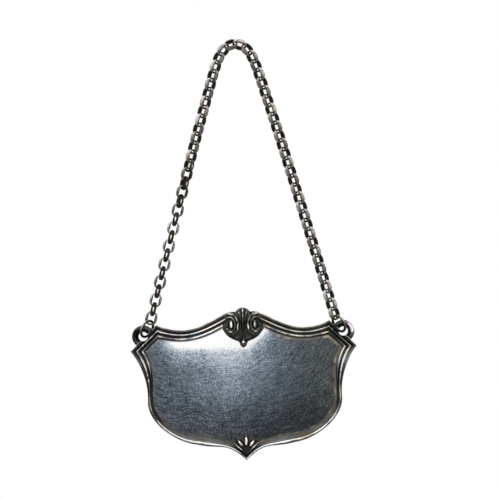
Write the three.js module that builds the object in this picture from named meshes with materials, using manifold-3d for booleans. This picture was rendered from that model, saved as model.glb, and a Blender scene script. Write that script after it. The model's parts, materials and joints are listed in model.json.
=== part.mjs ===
// A decanter label: a shield-shaped plate with an applied reeded border, a scroll crest and a leaf,
// hung by two ears and two jump rings from one closed run of oval belcher links.
// Millimetres, +Z up. The label faces -Y and the origin is the top of the chain's loop,
// where it lies over a hook or a bottle's neck.
import * as THREE from "three";
import { mergeVertices } from "three/addons/utils/BufferGeometryUtils.js";
import Module from "manifold-3d";

const wasm = await Module();
wasm.setup();

// Driving dimensions of the label. Heights are above the label's own zero line,
// which lies this far below the top of the loop.
const LABEL_DROP = 76.2;
const BACK_Y = 0.57; // sets the label's centre of mass in the chain's plane
const PLATE_THICKNESS = 0.9;
const FRONT_Y = BACK_Y - PLATE_THICKNESS;
const SEAM = 0.02; // solder seam between applied pieces
const BAND_SIDES = 6;
const LOBE_SIDES = 10;
const DOME_STEPS = 5;
const PLATE_INSET = 0.05; // of the border's width, at the plate's rim

// The border's half outline, from the crest round to the bottom tip, as runs between
// its corners. Each run has its outer and inner edge as a cubic curve, the number of
// steps along it, and how strongly it is reeded at its two ends.
const BORDER_RUNS = [
  {
    name: "top",
    outer: [[3.8, 9.1], [10.55, 5.9], [13.75, 3.16], [21.55, 6.4]],
    inner: [[5.4, 5.0], [10.75, 2.04], [15.26, 1.25], [21.3, 2.9]],
    steps: 12,
    reeding: [1, 1],
  },
  {
    name: "shoulder",
    outer: [[21.55, 6.4], [23.8, 4.24], [26.05, 2.09], [28.3, -0.07]],
    inner: [[21.3, 2.9], [22.4, 1.87], [23.5, 0.83], [24.6, -0.2]],
    steps: 3,
    reeding: [1, 1],
  },
  {
    name: "side",
    outer: [[28.3, -0.07], [25.52, -3.69], [23.98, -8.27], [24.3, -12.85]],
    inner: [[24.6, -0.2], [22.44, -3.59], [22.92, -7.63], [23.0, -11.4]],
    steps: 7,
    reeding: [1, 0.15],
  },
  {
    name: "turn",
    outer: [[24.3, -12.85], [24.46, -18.35], [17.18, -23.24], [12.4, -23.8]],
    inner: [[23.0, -11.4], [23.42, -17.43], [17.07, -21.82], [11.6, -21.9]],
    steps: 9,
    reeding: [0.15, 0],
  },
  {
    name: "foot",
    outer: [[12.4, -23.8], [6.03, -25.36], [5.17, -23.1], [0, -28.0]],
    inner: [[11.6, -21.9], [5.9, -23.0], [2.7, -23.4], [0, -26.8]],
    steps: 9,
    reeding: [0, 0],
  },
];

// The border's relief across its width, from outer to inner edge: the share of the
// width, the height where it has its three reeds, and the height where they have run
// together into one bead with a hollow band inside it.
const BORDER_PROFILE = [
  [0.0, 0.15, 0.15],
  [0.07, 0.78, 0.62],
  [0.19, 0.95, 0.95],
  [0.3, 0.42, 1.0],
  [0.4, 0.95, 0.9],
  [0.53, 1.12, 0.52],
  [0.65, 0.42, 0.3],
  [0.73, 0.78, 0.22],
  [0.86, 0.76, 0.14],
  [1.0, 0.08, 0.06],
];

// The ears on the shoulders.
const EAR_CENTRE = [25.0, 3.55];
const EAR_HOLE_RADIUS = 1.15;
const EAR_SIDES = 24;
// Radius and y of the ear's moulded ring: worn hole wall, fine inner bead, groove and outer bead.
const EAR_PROFILE = [
  [1.4, 0.55],
  [EAR_HOLE_RADIUS, 0.17],
  [EAR_HOLE_RADIUS, -0.25],
  [1.32, -0.41],
  [1.55, -0.23],
  [1.8, -0.53],
  [2.25, -0.75],
  [2.65, -0.5],
  [2.82, -0.1],
  [2.75, 0.55],
];

// The crest's half outline below its dome, and the relief on it. A band has its points,
// and its radius and height at its two ends; a lobe has its radii and its lean.
const CREST_BASE_HEIGHT = 0.4;
const DOME_CENTRE = 8.05;
const DOME_RADIUS = 2.1;
const CREST_SKIRT = [
  [3.68, 9.02], [5.2, 4.95], [4.5, 3.95], [3.4, 2.75], [2.3, 2.1], [1.1, 1.65], [0.75, 0.7], [0, 0.15],
];
const CREST_BANDS = [
  {
    name: "outer scroll",
    points: [[3.95, 8.6], [2.95, 8.62], [1.95, 8.0], [1.3, 6.7], [1.25, 5.3], [1.75, 4.1], [2.7, 3.35]],
    radius: [0.36, 0.3],
    height: [0.6, 0.62],
    steps: 13,
  },
  {
    name: "inner scroll",
    points: [
      [4.55, 7.05], [3.7, 7.75], [2.75, 7.6], [2.05, 6.6], [2.0, 5.3], [2.55, 4.35], [3.4, 4.15], [4.05, 4.9],
    ],
    radius: [0.34, 0.22],
    height: [0.55, 0.7],
    steps: 16,
  },
  {
    name: "ridge",
    points: [[0, 9.7], [0, 8], [0, 6.2], [0, 4.5]],
    radius: [0.2, 0.26],
    height: [0.85, 0.55],
    steps: 4,
  },
  {
    name: "dome rib",
    points: [[1.05, 9.35], [0.72, 8.2], [0.5, 7.1]],
    radius: [0.16, 0.2],
    height: [0.75, 0.7],
    steps: 4,
  },
  {
    name: "inner leg",
    points: [[0.1, 4.75], [0.5, 4.05], [1.15, 3.1]],
    radius: [0.2, 0.14],
    height: [0.55, 0.45],
    steps: 4,
  },
  {
    name: "outer leg",
    points: [[0.55, 6.0], [0.75, 4.9], [1.2, 3.9], [1.9, 3.0]],
    radius: [0.14, 0.14],
    height: [0.5, 0.45],
    steps: 6,
  },
];
const CREST_LOBES = [
  { name: "eye", at: [3.05, 5.95], radii: [0.52, 0.62, 1.1], height: 0.5, lean: 0 },
  { name: "apron", at: [2.9, 3.75], radii: [1.55, 0.5, 0.95], height: 0.25, lean: -38 },
  { name: "apron foot", at: [1.35, 2.5], radii: [0.9, 0.45, 0.62], height: 0.25, lean: -20 },
];
const DOME = { at: [0, 8.15], radii: [2.0, 0.62, 1.9], height: 0.25, lean: 0 };
const BUD = { at: [0, 1.2], radii: [0.85, 0.72, 1.0], height: 0.3, lean: 0 };

// The leaf at the bottom tip.
const LEAF_BASE_HEIGHT = 0.35;
const LEAF_OUTLINE = [[0, -21.75], [0.85, -22.35], [1.9, -22.75], [2.9, -23.6], [0, -26.6]];
const LEAF_MIDDLE = { at: [0, -23.35], radii: [0.56, 0.6, 1.5], height: 0.3, lean: 0 };
const LEAF_SIDE = { at: [1.2, -24.1], radii: [0.4, 0.5, 1.2], height: 0.3, lean: 36 };
const LEAF_VEIN = {
  points: [[2.75, -23.7], [1.5, -25.05], [0.15, -26.3]],
  radius: [0.25, 0.16],
  height: [0.4, 0.35],
  steps: 3,
};

// The chain. A link is a band of half-round wire bent to an oval.
const LINKS_A_SIDE = 32;
const LINK = { length: 3.65, width: 2.95, wall: 0.5, band: 1.1 };
const LINK_STEPS = 12;
const BAND_FLAT = 0.22; // of the band's width, on its inner side
const BAND_SHOULDER = 0.55; // of the wall, where the band is widest
const BEARING_GROWTH = 0.26; // how far the ends of two soldered links reach to each other
const ROLL = 45; // degrees that neighbouring links stand off the front plane
// The left strand lies untwisted near the label: from this row up to that one it turns.
const UNTWISTED_FROM_ROW = 21;
const TWISTED_TO_ROW = 14;
// The first link of each soldered pair, the same on both sides.
const SOLDERED = [6, 10, 14, 18, 22, 26];
// Half of the line through the points where the links bear on each other.
const CROWN_CURVE = [[0, 0], [2.7, 0], [4.1, -2.38], [5.6, -7.28]];
const STRAND_CURVE = [[5.6, -7.28], [11.95, -27.87], [17.5, -48.55], [23.17, -69.22]];

// The jump rings, of round wire.
const RING_WIRE_RADIUS = 0.36;
const RING_STEPS = 20;
const RING_SIDES = 7;
const RING_TURN = 56; // degrees that a ring's plane is turned from the front plane
const RING_SEAT = 0.45; // from the bearing point of the last link up to the ring's wire
const RING_REACH = 0; // from the ear's centre up to the ring's wire

const deg = THREE.MathUtils.degToRad;

// Solids and geometries.

function solidOf(geometry) {
  const plain = geometry.clone();
  plain.deleteAttribute("normal");
  plain.deleteAttribute("uv");
  const merged = mergeVertices(plain, 1e-5);
  const triVerts = new Uint32Array(merged.index.array);
  const vertProperties = new Float32Array(merged.attributes.position.array);
  const solid = new wasm.Manifold(new wasm.Mesh({ numProp: 3, vertProperties, triVerts }));
  if (solid.volume() > 0) return solid;
  for (let i = 0; i < triVerts.length; i += 3) {
    [triVerts[i + 1], triVerts[i + 2]] = [triVerts[i + 2], triVerts[i + 1]];
  }
  return new wasm.Manifold(new wasm.Mesh({ numProp: 3, vertProperties, triVerts }));
}

function geometryOf(solid) {
  const mesh = solid.getMesh();
  const geometry = new THREE.BufferGeometry();
  geometry.setAttribute("position", new THREE.BufferAttribute(mesh.vertProperties, 3));
  geometry.setIndex(new THREE.BufferAttribute(mesh.triVerts, 1));
  geometry.computeVertexNormals();
  return geometry;
}

function join(solids) {
  return solids.reduce((whole, next) => whole.add(next));
}

// A closed surface over rings of points: the last ring meets the first, or both ends
// are closed by the flat face that capOutline gives.
function skin(rings, capOutline = null) {
  const count = rings[0].length;
  const points = rings.flat();
  const faces = [];
  const spans = capOutline ? rings.length - 1 : rings.length;
  for (let i = 0; i < spans; i += 1) {
    const next = (i + 1) % rings.length;
    for (let j = 0; j < count; j += 1) {
      const k = (j + 1) % count;
      faces.push(i * count + j, i * count + k, next * count + k);
      faces.push(i * count + j, next * count + k, next * count + j);
    }
  }
  if (capOutline) {
    const last = (rings.length - 1) * count;
    const backwards = THREE.ShapeUtils.isClockWise(capOutline);
    THREE.ShapeUtils.triangulateShape(capOutline, []).forEach((corners) => {
      const [a, b, c] = backwards ? corners.reverse() : corners;
      faces.push(a, c, b);
      faces.push(last + a, last + b, last + c);
    });
  }
  const geometry = new THREE.BufferGeometry().setFromPoints(points);
  geometry.setIndex(faces);
  return geometry;
}

// A flat blank of the given outline in x and z, from one y to another.
function blank(outline, fromY, toY) {
  const shape = new THREE.Shape(outline.map(([x, z]) => new THREE.Vector2(x, z)));
  const geometry = new THREE.ExtrudeGeometry(shape, { depth: fromY - toY, bevelEnabled: false });
  geometry.rotateX(Math.PI / 2);
  geometry.translate(0, fromY, 0);
  return geometry;
}

function cylinderThrough([x, z], radius) {
  const geometry = new THREE.CylinderGeometry(radius, radius, 6, EAR_SIDES);
  geometry.translate(x, 0, z);
  return geometry;
}

// A round band on the label's front, along a curve through points of x and z. Its radius
// and height change evenly from one end to the other.
function band({ points, radius, height, steps }, side = 1) {
  const path = new THREE.CatmullRomCurve3(points.map(([x, z]) => new THREE.Vector3(x * side, 0, z)));
  const section = Array.from({ length: BAND_SIDES }, (_, j) => {
    const turn = (j / BAND_SIDES) * 2 * Math.PI;
    return new THREE.Vector2(Math.cos(turn), Math.sin(turn));
  });
  const rings = Array.from({ length: steps + 1 }, (_, i) => {
    const centre = path.getPointAt(i / steps);
    const along = path.getTangentAt(i / steps);
    const aside = new THREE.Vector3(-along.z, 0, along.x);
    const r = THREE.MathUtils.lerp(radius[0], radius[1], i / steps);
    const rise = THREE.MathUtils.lerp(height[0], height[1], i / steps);
    return section.map(({ x, y }) => {
      const point = centre.clone().addScaledVector(aside, r * x);
      return point.setY(FRONT_Y - rise - r * y);
    });
  });
  return skin(rings, section);
}

// A lobe in the shape of an egg on the label's front, leaning in the label's plane.
function lobe({ at, radii, height, lean }, side = 1) {
  const geometry = new THREE.SphereGeometry(1, LOBE_SIDES, LOBE_SIDES - 3);
  geometry.scale(...radii);
  geometry.rotateY(deg(lean * side));
  geometry.translate(at[0] * side, FRONT_Y - height, at[1]);
  return geometry;
}

const mirrored = (points) => points.map(([x, z]) => [-x, z]);

const bothSides = (half) => [...half, ...mirrored(half).reverse().filter(([x]) => x !== 0)];

// The border.

function curveAt([a, b, c, d], t) {
  const [u, v] = [1 - t, t];
  return [0, 1].map((i) => u ** 3 * a[i] + 3 * u * u * v * b[i] + 3 * u * v * v * c[i] + v ** 3 * d[i]);
}

// The border's stations: where its outer and inner edges are, and how strong its reeds are.
function borderStations() {
  const half = BORDER_RUNS.flatMap(({ outer, inner, steps, reeding }, run) => {
    const first = run === 0 ? 0 : 1;
    return Array.from({ length: steps + 1 - first }, (_, i) => {
      const t = (i + first) / steps;
      const reeds = THREE.MathUtils.lerp(reeding[0], reeding[1], t);
      return { outer: curveAt(outer, t), inner: curveAt(inner, t), reeds };
    });
  });
  const other = half.slice(0, -1).reverse().map(({ outer, inner, reeds }) => ({
    outer: mirrored([outer])[0],
    inner: mirrored([inner])[0],
    reeds,
  }));
  return [...half, ...other];
}

function across({ outer, inner }, share) {
  return [0, 1].map((i) => THREE.MathUtils.lerp(outer[i], inner[i], share));
}

function borderRing(station) {
  const top = BORDER_PROFILE.map(([share, reeded, plain]) => {
    const [x, z] = across(station, share);
    const height = THREE.MathUtils.lerp(plain, reeded, station.reeds);
    return new THREE.Vector3(x, FRONT_Y - height, z);
  });
  const foot = [1, 0].map((share) => {
    const [x, z] = across(station, share);
    return new THREE.Vector3(x, FRONT_Y - SEAM, z);
  });
  return [...top, ...foot];
}

function makeBorder(stations) {
  const outline = BORDER_PROFILE.map(([share, reeded]) => new THREE.Vector2(share, reeded));
  outline.push(new THREE.Vector2(1, SEAM), new THREE.Vector2(0, SEAM));
  const whole = solidOf(skin(stations.map(borderRing), outline));
  return geometryOf(cutEarHoles(whole));
}

function cutEarHoles(solid) {
  const [x, z] = EAR_CENTRE;
  return solid
    .subtract(solidOf(cylinderThrough([x, z], EAR_HOLE_RADIUS)))
    .subtract(solidOf(cylinderThrough([-x, z], EAR_HOLE_RADIUS)));
}

// The plate: the border's outline drawn in a little, with the crest's dome on top.
function makePlate(stations) {
  const rim = stations.map((station) => across(station, PLATE_INSET));
  const dome = crestDome(-0.12).map(([x, z]) => [-x, z]).reverse();
  const outline = [...rim, ...dome, ...crestDome(-0.12).slice(1)];
  return geometryOf(cutEarHoles(solidOf(blank(outline, BACK_Y, FRONT_Y))));
}

// Half of the crest's dome, from its top down to the scroll, grown or shrunk by an offset.
function crestDome(offset) {
  return Array.from({ length: DOME_STEPS + 1 }, (_, i) => {
    const turn = (i / DOME_STEPS) * deg(60);
    const radius = DOME_RADIUS + offset;
    return [radius * Math.sin(turn), DOME_CENTRE + radius * Math.cos(turn)];
  });
}

// Trims an applied piece to the given half field, in front of its solder seam.
function trimmed(pieces, halfField) {
  const field = blank(bothSides(halfField), FRONT_Y - SEAM, FRONT_Y - 4);
  return geometryOf(join(pieces).intersect(solidOf(field)));
}

// The crest: a flat base, the scrolls with their eyes, a ribbed dome with a ridge that
// forks at its foot, a draped apron and a bud.
function makeCrest() {
  const base = bothSides([...crestDome(0), ...CREST_SKIRT]);
  const pieces = [solidOf(blank(base, FRONT_Y - SEAM, FRONT_Y - CREST_BASE_HEIGHT))];
  [1, -1].forEach((side) => {
    CREST_BANDS.forEach((shape) => pieces.push(solidOf(band(shape, side))));
    CREST_LOBES.forEach((shape) => pieces.push(solidOf(lobe(shape, side))));
  });
  pieces.push(solidOf(lobe(DOME)), solidOf(lobe(BUD)));
  const [top] = BORDER_RUNS;
  const ends = [top.outer[0], top.inner[0]].map(([x, z]) => [x - 4 * SEAM, z]);
  return trimmed(pieces, [[0, 12], [ends[0][0], 12], ...ends, [ends[1][0], 0], [0, 0]]);
}

// The leaf: three lobes and two side veins on a fan-shaped base, inside the border's point.
function makeLeaf() {
  const base = blank(bothSides(LEAF_OUTLINE), FRONT_Y - SEAM, FRONT_Y - LEAF_BASE_HEIGHT);
  const pieces = [solidOf(base), solidOf(lobe(LEAF_MIDDLE))];
  [1, -1].forEach((side) => {
    pieces.push(solidOf(lobe(LEAF_SIDE, side)), solidOf(band(LEAF_VEIN, side)));
  });
  return trimmed(pieces, [[0, -21], [4, -21], [4, -28], [0, -28]]);
}

// An ear: a moulded ring round the hole, cut off along the border's shoulder.
function makeEar() {
  const profile = [...EAR_PROFILE, EAR_PROFILE[0]].map(([r, y]) => new THREE.Vector2(r, y));
  const ring = new THREE.LatheGeometry(profile, EAR_SIDES);
  ring.translate(EAR_CENTRE[0], 0, EAR_CENTRE[1]);
  const [corner, tip] = [BORDER_RUNS[1].outer[0], BORDER_RUNS[1].outer[3]];
  const slope = Math.atan2(corner[1] - tip[1], tip[0] - corner[0]);
  const label = new THREE.BoxGeometry(20, 8, 10);
  label.translate(0, 0, -5 + 2 * SEAM);
  label.rotateY(slope);
  label.translate((corner[0] + tip[0]) / 2, 0, (corner[1] + tip[1]) / 2);
  return geometryOf(solidOf(ring).subtract(solidOf(label)));
}

// The chain's line, and the links on it.

// Bearing points at equal steps along half of the line, with the step that makes the
// last one fall on its end.
function bearingPoints(count) {
  const curve = [CROWN_CURVE, STRAND_CURVE].flatMap((run) =>
    Array.from({ length: 400 }, (_, i) => curveAt(run, i / 400)),
  );
  curve.push(STRAND_CURVE[3]);
  const walk = (step) => {
    const found = [curve[0]];
    for (let i = 1; i < curve.length && found.length <= count; i += 1) {
      const [x, z] = found[found.length - 1];
      const [before, after] = [curve[i - 1], curve[i]].map((p) => Math.hypot(p[0] - x, p[1] - z));
      if (after < step) continue;
      const share = (step - before) / (after - before);
      found.push([0, 1].map((k) => THREE.MathUtils.lerp(curve[i - 1][k], curve[i][k], share)));
      i -= 1;
    }
    return found;
  };
  let [low, high] = [2, 2.6];
  for (let i = 0; i < 40; i += 1) {
    const middle = (low + high) / 2;
    if (walk(middle).length > count) low = middle;
    else high = middle;
  }
  return walk(low);
}

// One ring of points round a link's band, for a turn round the oval. A grown end reaches
// inwards, to meet the link that is soldered to it.
function bandSection(turn, grownEnd) {
  const radius = LINK.width / 2 - LINK.wall;
  const straight = (LINK.length - LINK.width) / 2;
  const [c, s] = [Math.cos(turn), Math.sin(turn)];
  const growth = s * grownEnd > 0.9 ? BEARING_GROWTH : 0;
  const section = [
    [-growth, -BAND_FLAT * LINK.band],
    [-growth, BAND_FLAT * LINK.band],
    [BAND_SHOULDER * LINK.wall, LINK.band / 2],
    [LINK.wall, 0],
    [BAND_SHOULDER * LINK.wall, -LINK.band / 2],
  ];
  return section.map(([out, along]) => {
    const reach = radius + out;
    return new THREE.Vector3(reach * c, along, reach * s + Math.sign(s) * straight);
  });
}

function linkGeometry(grownEnd) {
  const rings = Array.from({ length: LINK_STEPS }, (_, k) =>
    bandSection(((k + 0.5) / LINK_STEPS) * 2 * Math.PI, grownEnd),
  );
  return skin(rings);
}

// How far a row's link is rolled about the strand. The left strand untwists near the label.
function rollOf(row, side) {
  const rolled = row % 2 ? -ROLL : ROLL;
  if (side > 0) return rolled;
  const untwisted = (row - TWISTED_TO_ROW) / (UNTWISTED_FROM_ROW - TWISTED_TO_ROW);
  return rolled - ROLL * THREE.MathUtils.clamp(untwisted, 0, 1);
}

// A link of the given row, placed between its two bearing points.
function placedLink(points, row, side, grownEnd) {
  const [from, to] = [points[row - 1], points[row]];
  const lean = Math.atan2(side * (to[0] - from[0]), from[1] - to[1]);
  const geometry = linkGeometry(grownEnd);
  geometry.rotateZ(deg(rollOf(row, side)));
  geometry.rotateY(-lean);
  geometry.translate((side * (from[0] + to[0])) / 2, 0, (from[1] + to[1]) / 2);
  return solidOf(geometry);
}

// The geometry of the node that starts at a row: one link, or two that are soldered.
function linkNode(points, row, side) {
  if (!SOLDERED.includes(row)) return geometryOf(placedLink(points, row, side, 0));
  const [upper, lower] = [placedLink(points, row, side, -1), placedLink(points, row + 1, side, 1)];
  return geometryOf(upper.add(lower));
}

// A jump ring: a round wire through the last link and the ear's hole, turned so that its
// outer side stands in front.
function makeRing(points, side) {
  const last = new THREE.Vector2(...points[LINKS_A_SIDE]);
  const ear = new THREE.Vector2(EAR_CENTRE[0], EAR_CENTRE[1] - LABEL_DROP);
  const down = ear.clone().sub(last).normalize();
  const top = last.clone().addScaledVector(down, -RING_SEAT);
  const bottom = ear.clone().addScaledVector(down, -RING_REACH);
  const centre = top.clone().add(bottom).multiplyScalar(0.5);
  const radius = top.distanceTo(bottom) / 2;
  const [c, s] = [Math.cos(deg(RING_TURN)), Math.sin(deg(RING_TURN))];
  const axisA = new THREE.Vector3(down.x, 0, down.y);
  const axisB = new THREE.Vector3(-down.y * c, -s, down.x * c);
  const normal = axisA.clone().cross(axisB);
  const rings = Array.from({ length: RING_STEPS }, (_, k) => {
    const turn = (k / RING_STEPS) * 2 * Math.PI;
    const out = axisA.clone().multiplyScalar(Math.cos(turn)).addScaledVector(axisB, Math.sin(turn));
    return Array.from({ length: RING_SIDES }, (_, j) => {
      const round = (j / RING_SIDES) * 2 * Math.PI;
      const point = new THREE.Vector3(centre.x, 0, centre.y);
      point.addScaledVector(out, radius + RING_WIRE_RADIUS * Math.cos(round));
      point.addScaledVector(normal, RING_WIRE_RADIUS * Math.sin(round));
      point.x *= side;
      return point;
    });
  });
  return geometryOf(solidOf(skin(rings)));
}

// The finishes, and the whole object.

const FINISHES = {
  field: { color: 0x7d8894, roughness: 0.34, metalness: 1 },
  border: { color: 0xb5b0a8, roughness: 0.2, metalness: 1 },
  chased: { color: 0x6f6a60, roughness: 0.3, metalness: 1 },
  chain: { color: 0x7a766a, roughness: 0.28, metalness: 1 },
};

function piece(name, geometry, finish) {
  const mesh = new THREE.Mesh(geometry, new THREE.MeshStandardMaterial(FINISHES[finish]));
  mesh.name = name;
  return mesh;
}

function makeLabel() {
  const stations = borderStations();
  const label = new THREE.Group();
  label.position.z = -LABEL_DROP;
  label.add(piece("back_plate", makePlate(stations), "field"));
  label.add(piece("reeded_border", makeBorder(stations), "border"));
  label.add(piece("crest_ornament", makeCrest(), "chased"));
  label.add(piece("leaf_ornament", makeLeaf(), "chased"));
  const ear = makeEar();
  label.add(piece("right_ear", ear, "border"));
  const leftEar = solidOf(ear.clone().scale(-1, 1, 1));
  label.add(piece("left_ear", geometryOf(leftEar), "border"));
  return label;
}

function makeChain() {
  const points = bearingPoints(LINKS_A_SIDE);
  const chain = new THREE.Group();
  const two = (row) => String(row).padStart(2, "0");
  [["left", -1], ["right", 1]].forEach(([hand, side]) => {
    for (let row = 1; row <= LINKS_A_SIDE; row += 1) {
      const soldered = SOLDERED.includes(row);
      const name = soldered ? `${hand}_links_${two(row)}_${two(row + 1)}` : `${hand}_link_${two(row)}`;
      chain.add(piece(name, linkNode(points, row, side), "chain"));
      if (soldered) row += 1;
    }
    chain.add(piece(`${hand}_jump_ring`, makeRing(points, side), "chain"));
  });
  return chain;
}

const decanterLabel = new THREE.Group();
decanterLabel.add(makeLabel(), makeChain());

export default decanterLabel;
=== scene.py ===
# %% [markdown]
# # A silver decanter label on its chain
#
# The object is a blank shield of silver that hangs round a decanter's neck. A border of
# three reeds runs round it, a scroll crest sits on the top edge and a small leaf at the
# point. Two ears hold two jump rings, and one closed run of oval belcher links hangs it all.
#
# The CAD model is right in its sizes but faceted, because every triangle in it costs
# something. Here each of its nodes gets a smooth piece in the same place, worked out from the
# same formulas with numpy, and then the finishes that old, rubbed, half-tarnished silver has.

import json
import math

import bpy
import numpy as np
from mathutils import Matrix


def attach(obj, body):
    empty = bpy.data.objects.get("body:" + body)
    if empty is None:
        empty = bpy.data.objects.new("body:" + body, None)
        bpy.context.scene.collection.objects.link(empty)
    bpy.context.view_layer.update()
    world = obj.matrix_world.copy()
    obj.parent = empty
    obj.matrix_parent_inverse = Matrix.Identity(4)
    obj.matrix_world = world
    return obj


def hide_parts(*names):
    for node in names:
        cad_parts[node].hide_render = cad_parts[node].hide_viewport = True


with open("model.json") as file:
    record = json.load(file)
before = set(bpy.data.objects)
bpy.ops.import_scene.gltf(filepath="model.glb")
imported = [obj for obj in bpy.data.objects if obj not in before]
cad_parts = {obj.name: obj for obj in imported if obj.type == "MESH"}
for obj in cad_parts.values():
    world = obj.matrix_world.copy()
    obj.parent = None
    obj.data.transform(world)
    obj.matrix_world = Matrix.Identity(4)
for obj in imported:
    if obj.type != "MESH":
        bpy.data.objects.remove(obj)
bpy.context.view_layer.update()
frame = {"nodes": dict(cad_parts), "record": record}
scene = bpy.context.scene
MM = 0.001

# %% [markdown]
# ## The camera
#
# The photograph is taken square on, from far away, so upright lines stay parallel. A long
# lens a metre off does that. The label hangs level, and the picture of it is turned by a
# degree and a half, so the camera is what leans. Its frame is 125 mm wide at the label.

# %% Camera
FRAME_WIDTH, CAMERA_DISTANCE, SENSOR_WIDTH = 125.0, 1000.0, 36.0
LEAN = math.radians(1.6)
AIM_X, AIM_Z = 2.28, -51.75

camera_data = bpy.data.cameras.new("camera")
camera_data.sensor_width = SENSOR_WIDTH
camera_data.lens = SENSOR_WIDTH * CAMERA_DISTANCE / FRAME_WIDTH
camera_data.clip_end = 20.0
camera = bpy.data.objects.new("camera", camera_data)
camera.location = (AIM_X * MM, -CAMERA_DISTANCE * MM, AIM_Z * MM)
camera.rotation_euler = (math.pi / 2, LEAN, 0)
scene.collection.objects.link(camera)
scene.camera = camera
print("lens", round(camera_data.lens, 1), "mm")

# %% [markdown]
# ## From arrays to a mesh
#
# Every piece below is a grid of points: a shape is a function of two parameters, or a
# profile carried along a path. One helper turns the rows of such a grid into four-sided
# faces, others close its ends or its middle, and another puts points, faces and per-point
# values into a mesh in one go. A per-point value, such as how deep in a groove a point lies,
# later steers the finish.

# %% Helpers for grids


def grid_faces(rows, columns, close_rows=False, close_columns=False):
    """Quads of a grid of points, row by row. A closed side joins its last line to its first."""
    r = np.arange(rows if close_rows else rows - 1)[:, None]
    c = np.arange(columns if close_columns else columns - 1)[None, :]
    r2, c2 = (r + 1) % rows, (c + 1) % columns
    quads = np.stack([r * columns + c, r * columns + c2, r2 * columns + c2, r2 * columns + c], -1)
    return quads.reshape(-1, 4).tolist()


def strip_faces(rows, columns):
    """A strip whose section is a closed row of points, with one face over each of its ends."""
    ends = [list(range(columns))[::-1], list(range((rows - 1) * columns, rows * columns))]
    return grid_faces(rows, columns, close_columns=True) + ends


def ray_faces(rays, steps):
    """Rays all round a middle. Triangles join the first and the last ring to a hub point each."""
    first = np.arange(rays) * steps
    faces = grid_faces(rays, steps, close_rows=True)
    for hub, ring in enumerate((first, (first + steps - 1)[::-1]), rays * steps):
        faces += np.stack([ring, np.roll(ring, -1), np.full(rays, hub)], -1).tolist()
    return faces


def full_turn(count, offset=0.0):
    """Angles spread evenly over one turn, in radians."""
    return (np.arange(count) + offset) / count * 2 * np.pi


def between(value, start, end):
    """How far a value has come from start to end: 0 up to start, and 1 from end on."""
    return np.clip((value - start) / (end - start), 0, 1)


# %% Helpers for meshes
HANDS = {"right": 1, "left": -1}
fine_pieces = []


def material(name):
    """The material of that name, made empty if it isn't there yet."""
    found = bpy.data.materials.get(name) or bpy.data.materials.new(name)
    found.use_nodes = True
    return found


def body_of_node(node):
    """The name of the body that carries a CAD node."""
    bodies = frame["record"]["behaviour"]["bodies"]
    return next(body for body, nodes in bodies.items() if node in nodes)


def keep_value(mesh, key, value):
    """One number for each point of a mesh, kept under a name that a finish can read."""
    layer = mesh.attributes.new(key, "FLOAT", "POINT")
    layer.data.foreach_set("value", np.asarray(value, dtype=np.float32).ravel())


def mesh_object(name, points, faces, finish):
    """An object whose mesh has these faces between points in millimetres."""
    mesh = bpy.data.meshes.new(name)
    mesh.from_pydata((points.reshape(-1, 3) * MM).tolist(), [], faces)
    mesh.validate()
    mesh.materials.append(material(finish))
    made = bpy.data.objects.new(name, mesh)
    scene.collection.objects.link(made)
    return made


def piece(name, points, faces, node, finish, values, sharp=None):
    """A smooth object that stands for a CAD node, with values for its points."""
    made = mesh_object(name, points, faces, finish)
    mesh = made.data
    for key, value in values.items():
        keep_value(mesh, key, np.broadcast_to(value, points.shape[:-1]))
    mesh.polygons.foreach_set("use_smooth", np.ones(len(mesh.polygons), dtype=bool))
    if sharp:
        mesh.set_sharp_from_angle(angle=math.radians(sharp))
    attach(made, body_of_node(node))
    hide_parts(node)
    fine_pieces.append(made)
    return made


# %% [markdown]
# ## The border's path
#
# A strip of border was drawn through a shaped die, bent to the shield's outline and mitred at
# the corners. Its outer and inner edges are cubic curves between those corners, and a point
# at the same share of both curves is one cut across the strip. The same cuts also give the
# plate its outline, a little inside the strip's outer edge.

# %% The border's stations
LABEL_DROP = 76.2
BACK_Y, FRONT_Y = 0.57, -0.33
# Each run: its outer and inner curve, its number of cuts, and how strong its reeds are at
# its two ends, where 1 is three reeds and 0 is one bead.
RUNS = {
    "top": ([(3.8, 9.1), (10.55, 5.9), (13.75, 3.16), (21.55, 6.4)],
            [(5.4, 5.0), (10.75, 2.04), (15.26, 1.25), (21.3, 2.9)], 92, (1, 1)),
    "shoulder": ([(21.55, 6.4), (23.8, 4.24), (26.05, 2.09), (28.3, -0.07)],
                 [(21.3, 2.9), (22.4, 1.87), (23.5, 0.83), (24.6, -0.2)], 90, (1, 1)),
    "side": ([(28.3, -0.07), (25.52, -3.69), (23.98, -8.27), (24.3, -12.85)],
             [(24.6, -0.2), (22.44, -3.59), (22.92, -7.63), (23.0, -11.4)], 60, (1, 0.15)),
    "turn": ([(24.3, -12.85), (24.46, -18.35), (17.18, -23.24), (12.4, -23.8)],
             [(23.0, -11.4), (23.42, -17.43), (17.07, -21.82), (11.6, -21.9)], 70, (0.15, 0)),
    "foot": ([(12.4, -23.8), (6.03, -25.36), (5.17, -23.1), (0, -28.0)],
             [(11.6, -21.9), (5.9, -23.0), (2.7, -23.4), (0, -26.8)], 64, (0, 0)),
}


def cubic(control, t):
    """Points of a cubic curve: the four control points weighted by (1-t) and t."""
    a, b, c, d = (np.array(p, dtype=float) for p in control)
    t = t[:, None]
    u = 1 - t
    return u**3 * a + 3 * u * u * t * b + 3 * u * t * t * c + t**3 * d


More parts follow.
